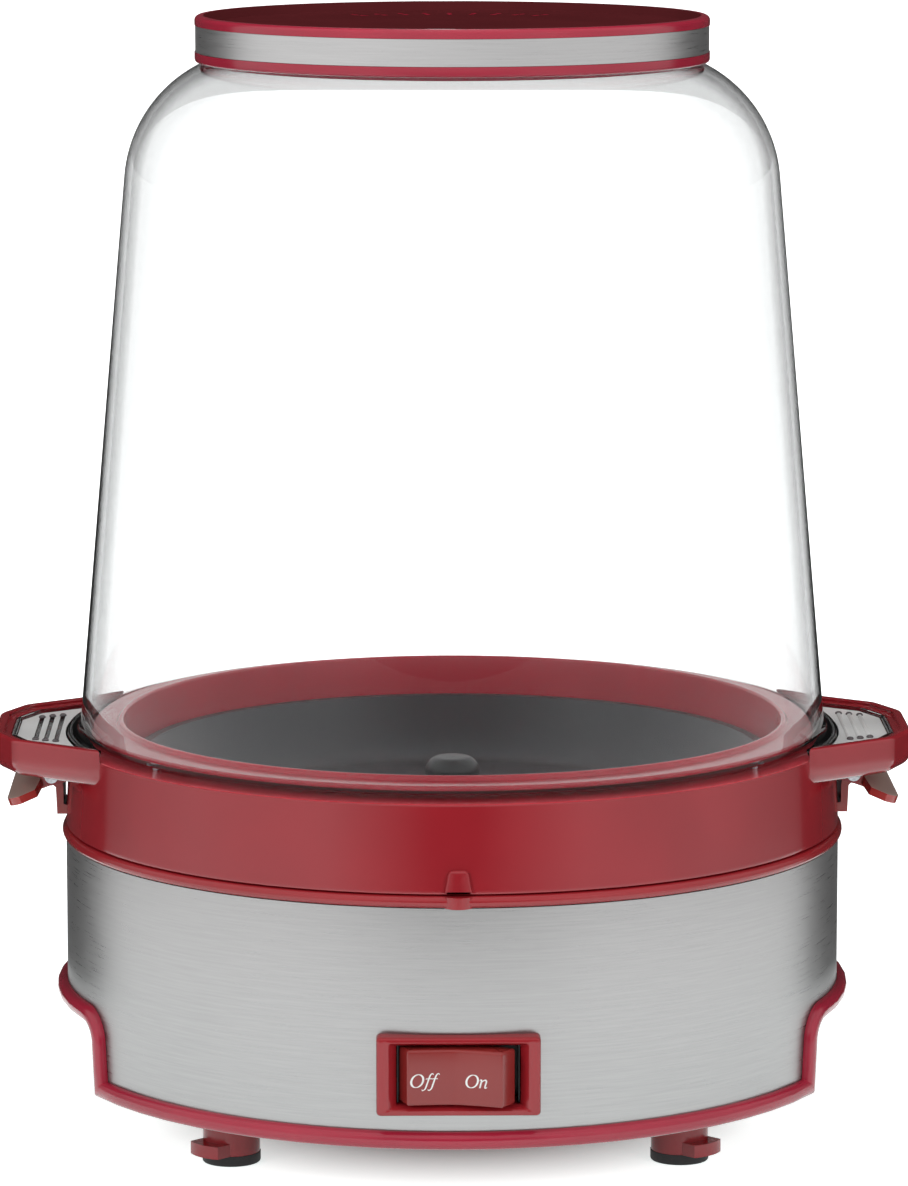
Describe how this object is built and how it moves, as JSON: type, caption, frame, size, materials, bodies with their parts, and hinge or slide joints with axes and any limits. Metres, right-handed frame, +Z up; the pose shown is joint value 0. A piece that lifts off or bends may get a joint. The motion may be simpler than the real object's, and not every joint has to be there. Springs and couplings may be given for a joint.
{
  "type": "popcorn maker",
  "caption": "Domed popcorn maker: drum base with heated plate and stirring wire, clear bowl with lid, side handles with release levers, front rocker switch.",
  "frame": {"origin": "on the table under the middle of the base, at the bottom of the feet", "axes": "+Z up, -Y towards the front with the switch, +X to the right seen from the front"},
  "size_m": [0.3108, 0.2836, 0.3756],
  "materials": {
    "red_plastic": "gloss",
    "lid_plastic": "gloss",
    "rocker_plastic": "satin",
    "lever_plastic": "satin",
    "sleeve_steel": "brushed",
    "clear_plastic": "clear gloss",
    "zinc_steel": "satin",
    "well_metal": "satin",
    "element_sheath": "matt",
    "ceramic_body": "matt",
    "motor_metal": "satin",
    "black_plastic": "matt",
    "bush_bronze": "satin",
    "nonstick": "satin non-stick",
    "wire_steel": "bright",
    "black_rubber": "matt",
    "terminal_plastic": "matt",
    "lead_jacket": "matt"
  },
  "bodies": {
    "base": {"base_tray": "red_plastic", "foot_pad_front_left": "black_rubber", "foot_pad_front_right": "black_rubber", "foot_pad_back_left": "black_rubber", "foot_pad_back_right": "black_rubber", "drum_sleeve": "sleeve_steel", "top_ring": "red_plastic", "base_screws": "zinc_steel", "heat_well": "well_metal", "well_screws": "zinc_steel", "heating_element": "element_sheath", "element_terminals": "zinc_steel", "element_clamps": "zinc_steel", "plate_posts": "zinc_steel", "thermostat": "ceramic_body", "thermal_fuse": "ceramic_body", "motor_can": "motor_metal", "gear_case": "black_plastic", "motor_bracket": "zinc_steel", "motor_screws": "zinc_steel", "shaft_bush": "bush_bronze", "switch_bezel": "red_plastic", "switch_body": "black_plastic", "rocker_pin": "zinc_steel", "cord_gland": "black_rubber", "terminal_block": "terminal_plastic", "wiring": "lead_jacket"},
    "drive": {"drive_shaft": "zinc_steel"},
    "plate": {"popping_plate": "nonstick", "plate_bush": "bush_bronze"},
    "stub": {"stub_shaft": "zinc_steel"},
    "stirrer": {"stir_hub": "black_plastic", "stir_wire": "wire_steel"},
    "bowl": {"popping_bowl": "clear_plastic", "collar": "red_plastic", "retaining_ring": "red_plastic", "ring_screws": "zinc_steel", "lever_pin_left": "zinc_steel", "lever_pin_right": "zinc_steel"},
    "left_lever": {"release_lever_left": "lever_plastic", "lever_spring_left": "wire_steel"},
    "right_lever": {"release_lever_right": "lever_plastic", "lever_spring_right": "wire_steel"},
    "lid": {"lid_ring": "red_plastic", "lid_band": "sleeve_steel", "lid_cover": "lid_plastic"},
    "rocker": {"rocker": "rocker_plastic"}
  },
  "joints": [
    {"name": "bowl_lift", "type": "slide", "parent": "base", "child": "bowl", "axis": [0, 0, 1], "range_m": [0, 0.16]},
    {"name": "lid_lift", "type": "slide", "parent": "bowl", "child": "lid", "axis": [0, 0, 1], "range_m": [0, 0.06]},
    {"name": "left_lever_squeeze", "type": "hinge", "parent": "bowl", "child": "left_lever", "pos_m": [-0.1363, 0, 0.1189], "axis": [0, 1, 0], "range_deg": [0, 8], "stiffness_Nm_per_rad": 0.05, "springref_deg": -20.05},
    {"name": "right_lever_squeeze", "type": "hinge", "parent": "bowl", "child": "right_lever", "pos_m": [0.1363, 0, 0.1189], "axis": [0, -1, 0], "range_deg": [0, 8], "stiffness_Nm_per_rad": 0.05, "springref_deg": -20.05},
    {"name": "rocker_press", "type": "hinge", "parent": "base", "child": "rocker", "pos_m": [0, -0.1286, 0.043], "axis": [0, 0, 1], "range_deg": [0, 13]},
    {"name": "plate_lift", "type": "slide", "parent": "base", "child": "plate", "axis": [0, 0, 1], "range_m": [0, 0.06]},
    {"name": "stir_spin", "type": "hinge", "parent": "plate", "child": "stub", "pos_m": [0, 0, 0.1], "axis": [0, 0, 1], "continuous": true},
    {"name": "stirrer_lift", "type": "slide", "parent": "stub", "child": "stirrer", "axis": [0, 0, 1], "range_m": [0, 0.045]},
    {"name": "drive_spin", "type": "hinge", "parent": "base", "child": "drive", "pos_m": [0, 0, 0.08], "axis": [0, 0, 1], "continuous": true}
  ],
  "couplings": [
    {"joint": "drive_spin", "follows": "stir_spin", "ratio": 1}
  ]
}
